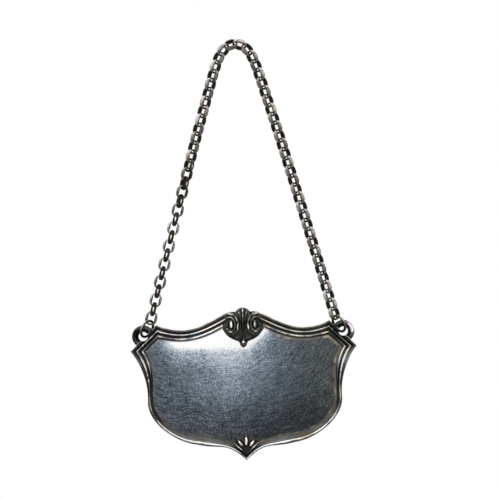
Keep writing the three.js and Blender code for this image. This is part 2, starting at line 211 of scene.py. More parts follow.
def border_stations():
    """Outer point, inner point and strength of the reeds at each cut, right crest to left."""
    outer, inner, reeds = [], [], []
    for number, (outer_run, inner_run, steps, ends) in enumerate(RUNS.values()):
        t = np.linspace(0, 1, steps + 1)[(1 if number else 0):]
        outer.append(cubic(outer_run, t))
        inner.append(cubic(inner_run, t))
        reeds.append(ends[0] + (ends[1] - ends[0]) * t)
    outer, inner, reeds = (np.concatenate(part) for part in (outer, inner, reeds))
    flip = np.array([-1.0, 1.0])
    outer = np.concatenate([outer, outer[-2::-1] * flip])
    inner = np.concatenate([inner, inner[-2::-1] * flip])
    return outer, inner, np.concatenate([reeds, reeds[-2::-1]])


outer_edge, inner_edge, reed_strength = border_stations()
print("border cuts", len(outer_edge), "length mm",
      round(float(np.linalg.norm(np.diff(outer_edge, axis=0), axis=1).sum()), 1))

# %% [markdown]
# ## The border's relief
#
# Across the strip there are three half-round reeds with sharp grooves between them. Along
# the bottom the reeds run together into one plump bead, with a hollow band on its inner side
# that leads the eye into the field. Both reliefs are worked out for every point, and each cut
# takes a mix of the two. How bright a point is goes into its relief value: tarnish stays in
# the grooves and is rubbed off the reeds, and painted highlights and shade lie along them.
#
# The ears' holes bite into the border. A point that falls inside a hole is pushed straight
# out to the hole's wall, which leaves a clean round notch without cutting the mesh.

# %% The section of the border


def reed(t, centre, half_width, height):
    """A half-ellipse across the strip: height times the root of one minus distance squared."""
    return height * np.sqrt(np.clip(1 - ((t - centre) / half_width) ** 2, 0, None))


def reeded_relief(t):
    """The highest of three reeds and a sloping floor between them."""
    floor = 0.16 + 0.3 * np.sin(np.pi * np.clip(t, 0, 1)) ** 0.5
    reeds = [reed(t, 0.155, 0.135, 0.97), reed(t, 0.47, 0.17, 1.12), reed(t, 0.79, 0.14, 0.86)]
    return np.maximum.reduce([floor, *reeds])


def beaded_relief(t):
    """One bead on the outer side, and a hollow band that sinks towards the inner edge."""
    floor = np.where(t < 0.03, 0.15, 0.3 * (t < 0.5))
    hollow = (0.07 + 0.38 * between(t, 1.0, 0.55) ** 1.6) * (t > 0.55)
    bead, lip = reed(t, 0.32, 0.285, 0.98), reed(t, 0.955, 0.05, 0.17)
    return np.maximum.reduce([floor, bead, hollow, lip])


# How bright the strip is at each share across it, from rubbing and from painted highlights
# and shade on the reeds and the bead. The reeds are bright at the outer edge, on the middle
# reed and on the inner one, and the bead is bright on its middle.
REED_RUB_AND_SHEEN = [(0, 1.0), (0.04, 0.75), (0.1, 0.34), (0.15, 0.22), (0.21, 0.26), (0.28, 0.36),
            (0.33, 0.6), (0.37, 1.0), (0.44, 1.0), (0.49, 0.55), (0.57, 0.1), (0.63, 0.12),
            (0.69, 0.38), (0.75, 0.75), (0.83, 1.0), (0.88, 0.7), (0.92, 0.3), (1, 0.1)]
BEAD_RUB_AND_SHEEN = [(0, 0.6), (0.05, 0.4), (0.13, 0.35), (0.2, 0.6), (0.27, 1.05), (0.34, 1.3),
            (0.52, 1.35), (0.6, 0.6), (0.67, 0.12), (0.76, 0.26), (0.86, 0.28), (0.92, 0.36),
            (0.96, 0.62), (1, 0.15)]

# %% Border
EAR_CENTRE, EAR_HOLE_RADIUS = np.array([25.0, 3.55]), 1.15
OUTER_EDGE_HEIGHT, INNER_EDGE_HEIGHT = 0.05, 0.04
# How far behind the plate's face the strip's foot lies, at its two edges.
OUTER_FOOT, INNER_FOOT = -0.02, 0.24


def push_out_of_holes(x, z):
    """Points inside an ear's hole go straight out from its centre to its wall."""
    for side in HANDS.values():
        dx, dz = x - EAR_CENTRE[0] * side, z - EAR_CENTRE[1]
        far = np.maximum(np.hypot(dx, dz), 1e-9)
        grow = np.where(far < EAR_HOLE_RADIUS, EAR_HOLE_RADIUS / far, 1)
        x, z = EAR_CENTRE[0] * side + dx * grow, EAR_CENTRE[1] + dz * grow
    return x, z


def darkening_by_place(x, z):
    """How much darker the border is made on its shoulders, sides and tip, less on a streak on the
    right.
    """
    wide, left = np.abs(x), x < 0
    shoulder = between(wide, 20.5, 22) * between(z, -1.5, 1.5)
    low_end = -17 - 5 * left
    flank = between(wide, 19, 23) * between(z, -3.5, -6.5) * between(z, low_end, low_end + 5)
    tip = between(wide, 3.4, 2.0) * (z < -15)
    streak = between(x, 20, 23) * between(z, 0.5, -1.0) * between(z, -9, -6)
    return np.maximum.reduce([shoulder, (1.0 + 0.35 * left) * flank, tip]) - 0.2 * streak


def make_border():
    """The relief over a grid of cuts and shares across, closed by a foot sunk to the plate."""
    t = np.concatenate([[0.0], np.linspace(0.012, 0.988, 62), [1.0]])
    strength = reed_strength[:, None]
    height = strength * reeded_relief(t) + (1 - strength) * beaded_relief(t)
    height[:, 0], height[:, -1] = OUTER_EDGE_HEIGHT, INNER_EDGE_HEIGHT
    across = outer_edge[:, None] + (inner_edge - outer_edge)[:, None] * t[:, None]
    x, z = push_out_of_holes(across[..., 0], across[..., 1])
    x, z = (np.hstack([v, v[:, -1:], v[:, :1]]) for v in (x, z))
    flat = np.zeros((len(x), 1))
    y = FRONT_Y + np.hstack([-height, flat + INNER_FOOT, flat + OUTER_FOOT])
    # Rubbing and painted highlights and shade across the strip, for the reeds and for the bead.
    reeded, beaded = (np.interp(t, *zip(*rub_and_sheen)) for rub_and_sheen in (REED_RUB_AND_SHEEN, BEAD_RUB_AND_SHEEN))
    worn_and_lit = strength * reeded + (1 - strength) * beaded
    values = {"relief": np.hstack([worn_and_lit, flat, flat]), "border_darkening": darkening_by_place(x, z)}
    return piece("border", np.stack([x, y, z - LABEL_DROP], -1), strip_faces(*x.shape),
                 "reeded_border", "border_silver", values, sharp=50)


border = make_border()
print("border points", len(border.data.vertices))

# %% [markdown]
# ## The plate
#
# The plate was cut from sheet and planished, so its face isn't dead flat: it swells a little
# in the middle and falls away towards the border. That curve catches light along its top edge,
# and the field's colour adds a painted highlight band there. The face is a grid of rays from
# the middle and steps along each ray; the height falls with the distance from the rim. The
# distance itself is kept, because rubbing never reaches the last half millimetre under the
# border.

# %% Helpers for outlines
CREST_MIDDLE_Z, CREST_ARC = 8.05, math.radians(60)


def crest_arc(radius, count):
    """Points of an arc round the crest's dome, from its top down its right side."""
    turn = np.linspace(0, CREST_ARC, count)
    return np.stack([radius * np.sin(turn), CREST_MIDDLE_Z + radius * np.cos(turn)], -1)


def nearest_on(line, x, z):
    """Each point's distance to the nearest of a line's points, and how far along that lies."""
    gap, best = np.full(x.size, np.inf), np.zeros(x.size)
    blocks = max(1, len(line) // 20)
    parts, shares = (np.array_split(v, blocks) for v in (line, np.linspace(0, 1, len(line))))
    for part, share in zip(parts, shares):
        away = np.hypot(x.ravel()[:, None] - part[:, 0], z.ravel()[:, None] - part[:, 1])
        nearest = away.argmin(1)
        found = away[np.arange(x.size), nearest]
        best = np.where(found < gap, share[nearest], best)
        gap = np.minimum(gap, found)
    return gap.reshape(x.shape), best.reshape(x.shape)


# %% Plate
PLATE_MIDDLE = np.array([0.0, -7.0])
PLATE_RAYS, PLATE_INSET, PLATE_CROWN_RADIUS = 900, 0.05, 1.98
DOME_FALL, DOME_REACH = 0.2, 2.2
# The rim value of the back and of the hubs, which are nowhere near the face's rim.
FAR_IN = 9.0


def even_outline(outline, count):
    """Points at equal steps along a closed outline."""
    closed = np.concatenate([outline, outline[:1]])
    along = np.concatenate([[0], np.cumsum(np.linalg.norm(np.diff(closed, axis=0), axis=1))])
    wanted = np.linspace(0, along[-1], count, endpoint=False)
    return np.stack([np.interp(wanted, along, closed[:, k]) for k in (0, 1)], -1)


def make_plate():
    """Rays from the middle to the outline, closer stepped near it: front, wall and back."""
    rim = outer_edge + (inner_edge - outer_edge) * PLATE_INSET
    crown = crest_arc(PLATE_CROWN_RADIUS, 24)
    edge = even_outline(np.concatenate([crown, rim, (crown * [-1, 1])[:0:-1]]), PLATE_RAYS)
    share = np.concatenate([np.linspace(0.02, 0.8, 26), np.linspace(0.82, 1, 20)])
    grid = PLATE_MIDDLE + (edge - PLATE_MIDDLE)[:, None] * share[:, None]
    x, z = push_out_of_holes(grid[..., 0], grid[..., 1])
    inside, _ = nearest_on(inner_edge[::3], x, z)
    y = FRONT_Y + DOME_FALL * np.exp(-inside / DOME_REACH)
    front = np.stack([x, y, z - LABEL_DROP], -1)
    back = np.stack([x, np.full_like(x, BACK_Y), z - LABEL_DROP], -1)[:, ::-1]
    hubs = [[PLATE_MIDDLE[0], y, PLATE_MIDDLE[1] - LABEL_DROP] for y in (FRONT_Y, BACK_Y)]
    points = np.concatenate([np.hstack([front, back]).reshape(-1, 3), hubs])
    rim_far = np.hstack([inside, np.full_like(inside, FAR_IN)])
    faced = np.hstack([np.ones_like(inside), np.zeros_like(inside)])
    values = {"rim": np.append(rim_far, [FAR_IN, FAR_IN]), "face": np.append(faced, [1, 0])}
    return piece("plate", points, ray_faces(*faced.shape), "back_plate",
                 "field_silver", values, sharp=40)


plate = make_plate()
print("plate points", len(plate.data.vertices))

# %% [markdown]
# ## Carved relief
#
# The crest and the leaf were cast and chased. Such relief is a height over an outline, so
# each one is a list of soft forms: a tube along a curve, or an egg. At every point the
# highest form wins, with the crease between two forms softened as casting wax would be.
# The grid runs in rays from a middle, and the outline is where the rays end.
#
# What stands out from the metal near it is rubbed a little. A few oval spots, where the
# photograph shows the brightest metal, get a painted highlight.

# %% Helpers for relief
FOOT_LIFT = 0.02
EDGE_ROUNDING = 0.22
NEAR_RAYS, NEAR_STEPS = 7, 4
LIFT_SHARE = 0.35
GROUND_RUB, RISE_RUB, MOST_RUB, SPOT_HIGHLIGHT = 0.34, 2.6, 0.75, 0.95


def curve_through(points, count=160):
    """A smooth curve: cubic pieces whose slopes are half the gap of a point's neighbours."""
    p = np.array(points, dtype=float)
    padded = np.vstack([2 * p[0] - p[1], p, 2 * p[-1] - p[-2]])
    s = np.linspace(0, len(p) - 1 - 1e-9, count)
    i = s.astype(int)
    t = (s - i)[:, None]
    a, b, c, d = (padded[i + k] for k in range(4))
    return 0.5 * (2 * b + (c - a) * t + (2 * a - 5 * b + 4 * c - d) * t**2
                  + (3 * b - a - 3 * c + d) * t**3)


def tube(x, z, points, radius, height):
    """A round band: its own height plus the root of radius squared minus distance squared."""
    gap, along = nearest_on(curve_through(points), x, z)
    r = radius[0] + (radius[1] - radius[0]) * along
    own = height[0] + (height[1] - height[0]) * along
    inside = np.clip(1 - (gap / r) ** 2, 0, 1)
    return own * np.clip(inside * 12, 0, 1) + r * np.sqrt(inside)


def egg(x, z, at, radii, height, lean):
    """An egg lying on the plate: its own height plus the root of one minus the oval distance."""
    a = math.radians(lean)
    dx, dz = x - at[0], z - at[1]
    u, v = dx * math.cos(a) - dz * math.sin(a), dx * math.sin(a) + dz * math.cos(a)
    inside = np.clip(1 - (u / radii[0]) ** 2 - (v / radii[2]) ** 2, 0, 1)
    return height * np.clip(inside * 6, 0, 1) + radii[1] * np.sqrt(inside)


def highest(forms, softness=0.05):
    """The highest form, plus softness times the log of the sum of how near each form comes
    to it. That rounds the creases, and lifts all a little, so some of the lift comes off."""
    top = np.maximum.reduce(forms)
    nearness = sum(np.exp((form - top) / softness) for form in forms)
    return top + softness * (np.log(nearness) - LIFT_SHARE * math.log(len(forms)))


def both_sides(x, z, base, bands, eggs):
    """The heights of a thin base, of bands and of eggs, the same left and right. A band has
    its points, and its radius and own height at both ends. An egg has its middle, its three
    radii, its own height and its lean."""
    x = np.abs(x)
    return [np.full_like(x, base), *(tube(x, z, *band) for band in bands.values()),
            *(egg(x, z, *oval) for oval in eggs.values())]


def mirrored(half):
    """A closed outline from its right half, which starts and ends on the middle line."""
    return np.concatenate([half, (half * [-1, 1])[-2:0:-1]])


def ray_ends(outline, middle, count):
    """Evenly spread turns about a middle, and the outline's distance from it at each."""
    offset = outline - middle
    turn = np.unwrap(np.arctan2(offset[:, 0], offset[:, 1]))
    order = np.argsort(turn)
    wanted = np.linspace(turn.min(), turn.min() + 2 * np.pi, count, endpoint=False)
    return wanted, np.interp(wanted, turn[order], np.hypot(*offset[order].T), period=2 * np.pi)


def highlight_spots(x, z, spots):
    """How near a point lies to the middle of an oval painted highlight: its strength there."""
    return np.maximum.reduce([strength * egg(np.abs(x), z, at, (wide, 1.0, high), 0.0, lean)
                              for at, wide, high, lean, strength in spots])


def near_mean(height):
    """The mean height of the points near each one, along the rings and along the rays."""
    rings = range(-NEAR_RAYS, NEAR_RAYS + 1)
    mean = np.mean([np.roll(height, k, 0) for k in rings], axis=0)
    padded = np.pad(mean, ((0, 0), (NEAR_STEPS, NEAR_STEPS)), "edge")
    steps = range(2 * NEAR_STEPS + 1)
    return np.mean([padded[:, k:k + height.shape[1]] for k in steps], axis=0)


def relief_piece(name, half, middle, rays, steps, height_of, spots):
    """Rays from a middle to the outline, raised by height_of(x, z), with a wall and a foot."""
    turns, far = ray_ends(mirrored(half), np.array(middle), rays)
    share = np.linspace(0, 1, steps) ** 0.9
    share[0] = 0.004
    reach = far[:, None] * share
    x = middle[0] + np.sin(turns)[:, None] * reach
    z = middle[1] + np.cos(turns)[:, None] * reach
    inwards = between(far[:, None] - reach, 0, EDGE_ROUNDING)
    height = height_of(x, z) * (0.5 + 0.5 * inwards * (2 - inwards))
    rub_and_sheen = np.clip(GROUND_RUB + (height - near_mean(height)) * RISE_RUB, 0, MOST_RUB)
    # Painted highlights: the oval spots brighten the relief value on top of the rub.
    relief = np.hstack([rub_and_sheen + SPOT_HIGHLIGHT * highlight_spots(x, z, spots), np.zeros((rays, 1))])
    hubs = [[middle[0], FRONT_Y - rise, middle[1] - LABEL_DROP]
            for rise in (height[:, 0].mean(), FOOT_LIFT)]
    x, z = (np.hstack([v, v[:, -1:]]) for v in (x, z))
    y = FRONT_Y - np.hstack([height, np.full((rays, 1), FOOT_LIFT)])
    points = np.concatenate([np.stack([x, y, z - LABEL_DROP], -1).reshape(-1, 3), hubs])
    return piece(name, points, ray_faces(*x.shape), name + "_ornament",
                 "chased_silver", {"relief": np.append(relief, [0.5, 0])}, sharp=60)


# %% [markdown]
# ## The crest
#
# Two reeds of the border curl over and down as scrolls round a pair of long eyes. Between
# them stands a shell: a dome with fine flutes that fan out from the middle ridge. The ridge
# forks at its foot, the scrolls rest on a draped apron, and a bud hangs from its tip.

# %% Crest
CREST_RADIUS = 2.08
CREST_SKIRT = [(3.68, 9.02), (4.35, 7.35), (5.2, 4.95), (4.9, 4.4), (4.5, 3.85), (3.95, 3.2),
               (3.4, 2.72), (2.85, 2.4), (2.3, 2.12), (1.7, 1.9), (1.12, 1.65), (0.92, 1.2),
               (0.78, 0.75), (0.45, 0.32), (0, 0.15)]
CREST_BASE = 0.34
CREST_BANDS = {
    "outer scroll": ([(3.95, 8.6), (2.95, 8.62), (1.95, 8.0), (1.3, 6.7), (1.25, 5.3),
                      (1.75, 4.1), (2.7, 3.35)], (0.37, 0.3), (0.56, 0.56)),
    "inner scroll": ([(4.55, 7.05), (3.7, 7.75), (2.75, 7.6), (2.05, 6.6), (2.0, 5.3),
                      (2.55, 4.35), (3.4, 4.15), (4.05, 4.9)], (0.34, 0.2), (0.5, 0.7)),
    "ridge": ([(0, 9.7), (0, 8), (0, 6.2), (0, 4.5)], (0.17, 0.24), (0.85, 0.5)),
    "fork": ([(0.1, 4.75), (0.5, 4.05), (1.15, 3.1)], (0.2, 0.13), (0.42, 0.36)),
    "leg": ([(0.55, 6.2), (0.72, 4.95), (1.15, 3.95), (1.85, 3)], (0.14, 0.13), (0.42, 0.38)),
    "stem": ([(0, 3.9), (0, 3.1), (0, 2.3)], (0.12, 0.16), (0.35, 0.42)),
}
CREST_EGGS = {
    "long eye": ((3.05, 5.95), (0.55, 0.62, 1.15), 0.45, 0),
    "apron": ((2.9, 3.75), (1.6, 0.42, 1.0), 0.24, -38),
    "apron's foot": ((1.3, 2.55), (0.95, 0.4, 0.62), 0.22, -20),
    "bud": ((0, 1.2), (0.82, 0.66, 0.95), 0.3, 0),
    "bud's cap": ((0, 2.05), (0.42, 0.3, 0.3), 0.35, 0),
}
DOME = ((0, 8.1), (2.05, 0.62, 2.0), 0.28, 0)
FLUTE_DEPTH, FLUTES_A_TURN = 0.1, 30
# Each painted highlight spot: its middle, half its width, half its height, its lean and its
# strength.
CREST_HIGHLIGHTS = [((2.95, 5.9), 0.27, 0.75, 0, 1.0), ((2.85, 6.9), 0.12, 0.5, 8, 0.6),
               ((1.27, 5.6), 0.18, 1.2, -4, 0.9), ((1.6, 7.3), 0.12, 0.9, 22, 0.4),
               ((0, 9.4), 0.22, 0.25, 0, 0.7), ((0, 1.6), 0.27, 0.3, 0, 0.95),
               ((0.02, 7.4), 0.1, 1.6, 0, 0.32), ((0.75, 4.6), 0.09, 1.1, 28, 0.3),
               ((3.1, 8.55), 0.8, 0.16, -20, 0.5), ((3.0, 4.1), 0.9, 0.12, -14, 0.4),
               ((1.0, 8.9), 0.1, 0.7, 40, 0.3)]


def crest_height(x, z):
    """The highest of the crest's forms and of its dome, whose flutes fan out from a point."""
    fan = np.arctan2(np.abs(x), np.clip(z - 4.3, 0.1, None))
    flutes = 1 + FLUTE_DEPTH * np.cos(fan * FLUTES_A_TURN) * between(z, 6.2, 7.7)
    dome = egg(x, z, *DOME) * flutes
    return highest([*both_sides(x, z, CREST_BASE, CREST_BANDS, CREST_EGGS), dome])


crest_half = np.concatenate([crest_arc(CREST_RADIUS, 20), CREST_SKIRT])
crest = relief_piece("crest", crest_half, (0.0, 5.2), 420, 110, crest_height, CREST_HIGHLIGHTS)
print("crest points", len(crest.data.vertices))

# %% [markdown]
# ## The leaf
#
# The same recipe gives the leaf at the point: three buds that spring from the tip, a vein
# along each side where the leaf meets the border, and four fine folds between them.

# %% Leaf
LEAF_HALF = np.array([(0, -21.3), (0.45, -21.5), (0.8, -22.0), (1.1, -22.45), (1.7, -22.5),
                      (2.3, -22.75), (2.75, -23.2), (3.3, -23.55), (2.6, -24.3),
                      (1.7, -25.15), (0.85, -26.0), (0, -26.8)])
LEAF_BASE, LEAF_CREASE = 0.24, 0.04
LEAF_BANDS = {
    "side vein": ([(3, -23.6), (1.6, -25.05), (0.12, -26.5)], (0.22, 0.14), (0.34, 0.3)),
    "inner fold": ([(0.75, -23), (0.72, -24.2), (0.25, -25.6)], (0.12, 0.09), (0.3, 0.3)),
    "outer fold": ([(2.1, -23.15), (1.7, -24.3), (0.5, -25.85)], (0.11, 0.09), (0.28, 0.28)),
}
LEAF_EGGS = {
    "middle bud": ((0, -23.1), (0.6, 0.56, 1.6), 0.3, 0),
    "side bud": ((1.35, -23.9), (0.45, 0.46, 1.25), 0.28, 36),
}
LEAF_HIGHLIGHTS = [((0, -23.3), 0.3, 1.1, 0, 0.95), ((1.35, -23.95), 0.25, 0.9, 36, 0.95),
              ((1.9, -24.75), 0.12, 1.8, 47, 0.75), ((0.55, -24.9), 0.1, 0.9, 22, 0.35)]


def leaf_height(x, z):
    """The highest of the leaf's forms, with sharper creases than the crest's."""
    return highest(both_sides(x, z, LEAF_BASE, LEAF_BANDS, LEAF_EGGS), LEAF_CREASE)


leaf = relief_piece("leaf", LEAF_HALF, (0.0, -24.0), 260, 56, leaf_height, LEAF_HIGHLIGHTS)
print("leaf points", len(leaf.data.vertices))

# %% [markdown]
# ## The ears
#
# Each ear is a turned ring with a moulded face, a plump outer bead, a groove and a fine inner
# bead, sawn off straight where it is soldered to the border. Every circle of the moulding
# meets that straight cut at its own angle, so the sweep of each circle ends where its
# distance to the cut runs out: the angle whose cosine is that distance over the radius.

# %% Ears
EAR_MOULDING = [(1.4, 0.55), (1.2, 0.3), (1.15, 0.05), (1.15, -0.2), (1.2, -0.36),
                (1.32, -0.42), (1.44, -0.38), (1.52, -0.26), (1.6, -0.24), (1.68, -0.3),
                (1.8, -0.53), (2.0, -0.7), (2.25, -0.76), (2.5, -0.69), (2.68, -0.5),
                (2.79, -0.25), (2.82, 0.0), (2.79, 0.3), (2.72, 0.5), (2.6, 0.55), (2.0, 0.56)]
EAR_SECTION_POINTS, EAR_SWEEP_STEPS = 84, 97
EAR_SINK = 0.05


def make_ear(hand):
    """A closed moulding swept about the hole, each of its circles up to the straight cut."""
    side = HANDS[hand]
    shoulder = RUNS["shoulder"][0]
    corner, tip = np.array(shoulder[0]), np.array(shoulder[3])
    along = (tip - corner) / np.linalg.norm(tip - corner)
    outward = np.array([-along[1], along[0]])
    gap = float((EAR_CENTRE - corner) @ outward) - EAR_SINK
    radius, y = curve_through(EAR_MOULDING + EAR_MOULDING[:1], EAR_SECTION_POINTS)[:-1].T
    reach = np.arccos(np.clip(-gap / radius, -1, 1))
    turn = np.linspace(-1, 1, EAR_SWEEP_STEPS)[:, None] * reach
    out = np.cos(turn)[..., None] * outward + np.sin(turn)[..., None] * along
    x, z = np.moveaxis(EAR_CENTRE + out * radius[:, None], -1, 0)
    points = np.stack([x * side, np.broadcast_to(y, x.shape), z - LABEL_DROP], -1)
    proud = between(-y, 0.2, 0.7) * (y < -0.1) + 0.55 * ((radius > 2.7) | (y > 0.3))
    # Painted highlight on the right ear's outer side, painted shade on the left ear's.
    rub_and_sheen = 0.55 + 0.5 * side * np.exp(-((turn - 0.35) / 0.6) ** 2)
    return piece(f"ear_{hand}", points, strip_faces(*x.shape), f"{hand}_ear",
                 "ear_silver", {"relief": proud * rub_and_sheen}, sharp=50)


for hand in HANDS:
    ear = make_ear(hand)
    print(ear.name, "points", len(ear.data.vertices))

# %% [markdown]
# ## The chain's line
#
# The links hang on each other in one loop. Each bears on the next at a point of one smooth
# line, and all the steps between bearing points are equal, because all the links are. The
# step is found by walking along the line again and again, with a longer or shorter step,
# until the last bearing point falls on the line's end.

# %% Bearing points
LINKS_A_SIDE = 32
CROWN_CURVE = [(0, 0), (2.7, 0), (4.1, -2.38), (5.6, -7.28)]
STRAND_CURVE = [(5.6, -7.28), (11.95, -27.87), (17.5, -48.55), (23.17, -69.22)]
SHORTEST_STEP, LONGEST_STEP = 2.0, 2.6
CURVE_POINTS, HALVINGS = 400, 40


def walk(line, step, count):
    """Points on a fine line at equal straight steps, up to count of them."""
    found, place = [line[0]], 1
    while place < len(line) and len(found) <= count:
        far = np.hypot(*(line[place] - found[-1]))
        if far < step:
            place += 1
            continue
        near = np.hypot(*(line[place - 1] - found[-1]))
        share = (step - near) / (far - near)
        found.append(line[place - 1] + (line[place] - line[place - 1]) * share)
    return found


def bearing_points(count):
    """The walk whose last step falls on the line's end, found by halving the doubt."""
    t = np.arange(CURVE_POINTS) / CURVE_POINTS
    line = np.concatenate([cubic(CROWN_CURVE, t), cubic(STRAND_CURVE, t), [STRAND_CURVE[3]]])
    low, high = SHORTEST_STEP, LONGEST_STEP
    for _ in range(HALVINGS):
        middle = (low + high) / 2
        low, high = (middle, high) if len(walk(line, middle, count)) > count else (low, middle)
    return np.array(walk(line, low, count))


bearings = bearing_points(LINKS_A_SIDE)
pitch = float(np.linalg.norm(bearings[1] - bearings[0]))
print("links a side", LINKS_A_SIDE, "pitch mm", round(pitch, 3), "end", bearings[-1].round(2))

# %% [markdown]
# ## A belcher link
#
# A belcher link is a short length of half-round wire, flat side in, bent to an oval and
# soldered shut. Its middle line is a stadium: two half circles and two short straights.
# The wire's section is an egg, plump outside and shallow inside, carried along that line.
# Half way down each side, where no neighbour reaches, the wire swells inwards and gets
# broader. The solder joint is a faint waist on one side, and every link is worn a little
# differently, which its own number between 0 and 1 tells the finish.

# %% Link
LINK_LENGTH, LINK_WIDTH, LINK_WALL, LINK_BAND = 3.65, 2.95, 0.48, 1.06
SWELL_INWARDS, SWELL_OUTWARDS, SWELL_OF_BAND = 0.22, 0.03, 0.27
LINK_STEPS, LINK_SIDES = 44, 12
SOLDER_AT, SOLDER_WIDTH, SOLDER_WAIST = 0.25, 0.12, 0.1
WEAR_SEED = 7


def make_link_shape():
    """A wire's egg section carried round a stadium, with a waist at the solder joint."""
    turn, around = full_turn(LINK_STEPS, 0.5)[:, None], full_turn(LINK_SIDES)
    c, s, outer = np.cos(turn), np.sin(turn), np.cos(around)
    out = LINK_WALL * (0.45 + np.where(outer > 0, 0.55, 0.45) * outer)
    waist = 1 - SOLDER_WAIST * np.exp(-(((turn - SOLDER_AT) / SOLDER_WIDTH) ** 2))
    flank = c**2
    mid_flank = flank**5
    swell = np.where(outer < 0, SWELL_INWARDS, SWELL_OUTWARDS) * outer * mid_flank
    reach = LINK_WIDTH / 2 - LINK_WALL + out * waist + swell
    y = LINK_BAND / 2 * np.sin(around) * waist * (1 + SWELL_OF_BAND * mid_flank)
    z = reach * s + np.clip(s * 8, -1, 1) * (LINK_LENGTH - LINK_WIDTH) / 2
    values = {"outer": outer, "joint": np.abs(turn - SOLDER_AT), "flank": flank}
    values = {key: np.broadcast_to(value, z.shape).ravel() for key, value in values.items()}
    return np.stack([reach * c, y, z], -1).reshape(-1, 3), values


link_shape, link_values = make_link_shape()
link_faces = np.array(grid_faces(LINK_STEPS, LINK_SIDES, close_rows=True, close_columns=True))
wear_of = np.random.default_rng(WEAR_SEED).random(2 * LINKS_A_SIDE)
print("link points", len(link_shape), "size mm", np.ptp(link_shape, axis=0).round(2))

# %% [markdown]
# ## The chain
#
# Neighbouring links stand square to each other, each turned 45 degrees from the front, one
# to the left and the next to the right. Towards the label the left strand has untwisted, so
# there the links lie open and edge-on by turns. On that stretch the edge-on links are
# marked as dull, and the open ones get a painted highlight on the front of their wire.

# %% Chain
LINK_ROLL = 45.0
UNTWIST_ROWS, DULL_ROWS = (14, 21), (12, 18)


def placed(points, row, side):
    """A link rolled about its length, leant along the line and moved between its bearings."""
    start, end = bearings[row - 1], bearings[row]
    lean = math.atan2(side * (end[0] - start[0]), start[1] - end[1])
    rolled = (-1 if row % 2 else 1) - (side < 0) * between(row, *UNTWIST_ROWS)
    roll = math.radians(LINK_ROLL * rolled)
    cr, sr, cl, sl = math.cos(roll), math.sin(roll), math.cos(lean), math.sin(lean)
    upright = points @ np.array([[cr, sr, 0], [-sr, cr, 0], [0, 0, 1]])
    leant = upright @ np.array([[cl, 0, sl], [0, 1, 0], [-sl, 0, cl]])
    return leant + [side * (start[0] + end[0]) / 2, 0, (start[1] + end[1]) / 2]


def make_links(node):
    """The piece for a chain node: one link, or the two that share a node."""
    hand, _, *rows = node.split("_")
    rows = np.array([int(row) for row in rows])
    side = HANDS[hand]
    points = np.concatenate([placed(link_shape, row, side) for row in rows])
    faces = np.concatenate([link_faces + k * len(link_shape) for k in range(len(rows))])
    untwisted = (side < 0) * between(rows, *DULL_ROWS)
    # Painted highlight on the front of the open links' wire.
    front_highlight = np.clip(1.1 - 1.8 * np.abs(link_values["outer"]), -0.35, 1.1)
    values = {key: np.tile(value, len(rows)) for key, value in link_values.items()}
    values["outer"] = values["outer"] + np.outer(untwisted * (1 - rows % 2), front_highlight).ravel()
    values["dull"] = np.repeat(untwisted * (rows % 2), len(link_shape))
    values["wear"] = np.repeat(wear_of[rows * 2 - (side > 0) - 1], len(link_shape))
    return piece("fine_" + node, points, faces.tolist(), node, "link_silver", values)


chain_nodes = sorted(n for n in frame["nodes"] if "_link_" in n or "_links_" in n)
chain = [make_links(node) for node in chain_nodes]
link_count = sum(len(o.data.vertices) for o in chain) // len(link_shape)
print("chain pieces", len(chain), "links", link_count)

# %% [markdown]
# ## The jump rings
#
# A jump ring is a turn of round wire, cut from a coil and closed. The cut stays open by a
# hair, so the wire narrows sharply at one place. The ring's plane is set by two directions:
# the line from the last link down to the ear, and one square to it that leans to the front.

# %% Jump rings
RING_WIRE, RING_LEAN, RING_SEAT = 0.335, math.radians(56), 0.45
RING_STEPS, RING_SIDES, RING_WEAR = 96, 20, 0.8
CUT_AT, CUT_WIDTH, CUT_DEPTH = 2.3, 0.035, 0.16


def make_ring(hand):
    """A round wire on a circle whose plane holds the line down to the ear, with a cut in it."""
    last, ear_at = bearings[-1], EAR_CENTRE - [0, LABEL_DROP]
    down = (ear_at - last) / np.linalg.norm(ear_at - last)
    top = last - down * RING_SEAT
    centre, radius = (top + ear_at) / 2, np.linalg.norm(top - ear_at) / 2
    c, s = math.cos(RING_LEAN), math.sin(RING_LEAN)
    first, second = np.array([down[0], 0, down[1]]), np.array([-down[1] * c, -s, down[0] * c])
    turn, around = full_turn(RING_STEPS)[:, None], full_turn(RING_SIDES)
    wire = RING_WIRE * (1 - CUT_DEPTH * np.exp(-(((turn - CUT_AT) / CUT_WIDTH) ** 2)))
    out = np.cos(turn) * first + np.sin(turn) * second
    points = (np.array([centre[0], 0, centre[1]])
              + out[:, None] * (radius + wire * np.cos(around))[..., None]
              + np.cross(first, second) * (wire * np.sin(around))[..., None])
    points[..., 0] *= HANDS[hand]
    faces = grid_faces(RING_STEPS, RING_SIDES, close_rows=True, close_columns=True)
    values = {"outer": np.cos(around), "joint": np.abs(turn - CUT_AT), "wear": RING_WEAR}
    return piece(f"ring_{hand}", points, faces, f"{hand}_jump_ring", "ring_silver",
                 values)


for hand in HANDS:
    ring = make_ring(hand)
    print(ring.name, "points", len(ring.data.vertices))

# %% [markdown]
# ## Facing outwards
#
# A mesh that is inside out has its shading and its bumps turned round, and bakes wrongly.
# The rays of the plate and the relief run clockwise, and one ear and one ring mirror the
# other, so those pieces come out inside out. The volume inside a closed mesh is positive
# when its faces point out, so it is worked out for each piece, and a piece with a negative
# one is turned round.

# %% Check the facing


